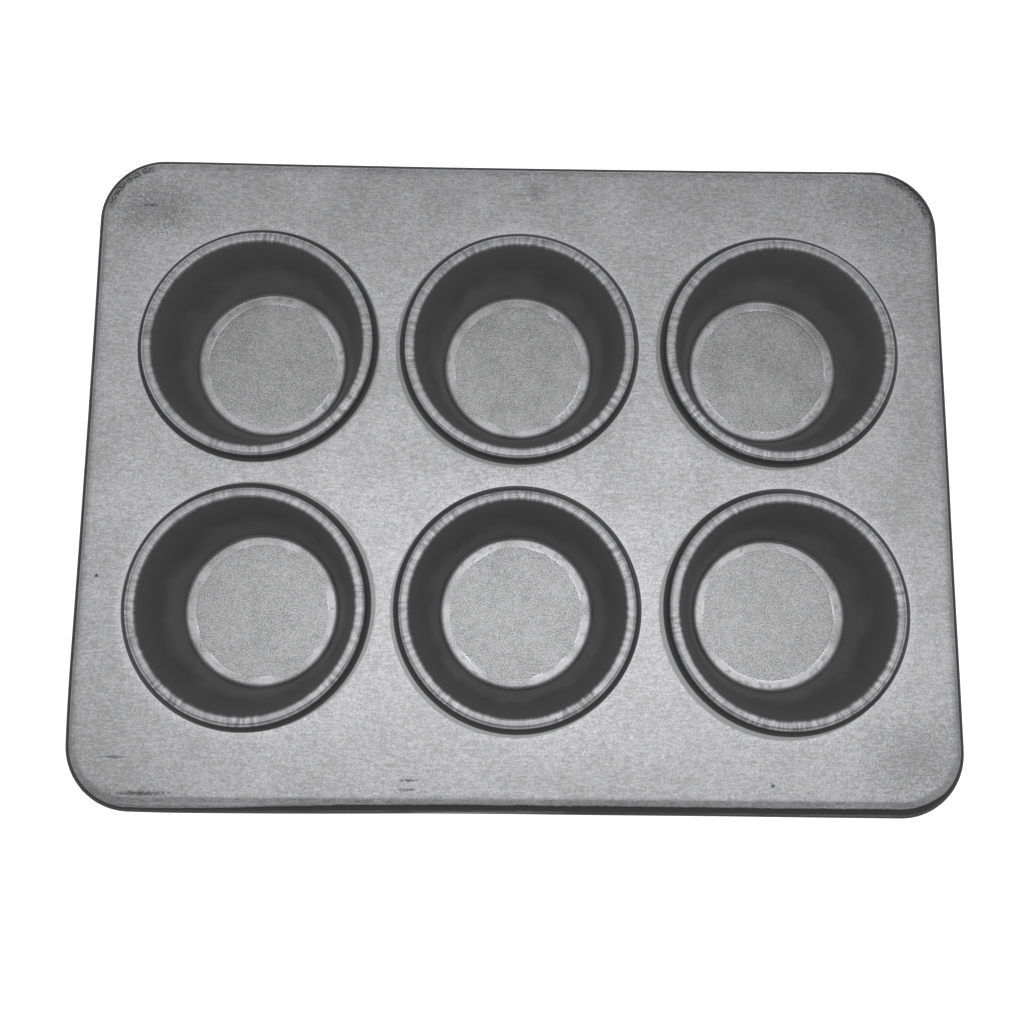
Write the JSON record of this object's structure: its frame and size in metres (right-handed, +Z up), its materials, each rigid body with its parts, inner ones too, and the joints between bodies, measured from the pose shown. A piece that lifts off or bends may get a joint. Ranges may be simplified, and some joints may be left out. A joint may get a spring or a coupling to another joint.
{
  "type": "muffin pan",
  "caption": "Rectangular sheet-steel muffin pan with tapered round cups, curled cup lips locked over the frame, and a wire-rolled edge, for baking.",
  "frame": {"origin": "on the table, under the middle of the pan: the undersides of the cups are at z = 0", "axes": "+X along the frame's long side, +Y across it from the front row of cups to the back row, +Z up out of the cups"},
  "size_m": [0.347, 0.264, 0.0336],
  "materials": {
    "frame_steel": "aluminised sheet steel, dull silver, with light handling marks",
    "cup_steel": "aluminised sheet steel, drawn and lightly used",
    "wire_steel": "plain drawn wire"
  },
  "bodies": {
    "root": {"frame_sheet": "frame_steel", "rim_wire": "wire_steel", "cup_front_left": "cup_steel", "cup_front_middle": "cup_steel", "cup_front_right": "cup_steel", "cup_back_left": "cup_steel", "cup_back_middle": "cup_steel", "cup_back_right": "cup_steel"}
  },
  "joints": []
}
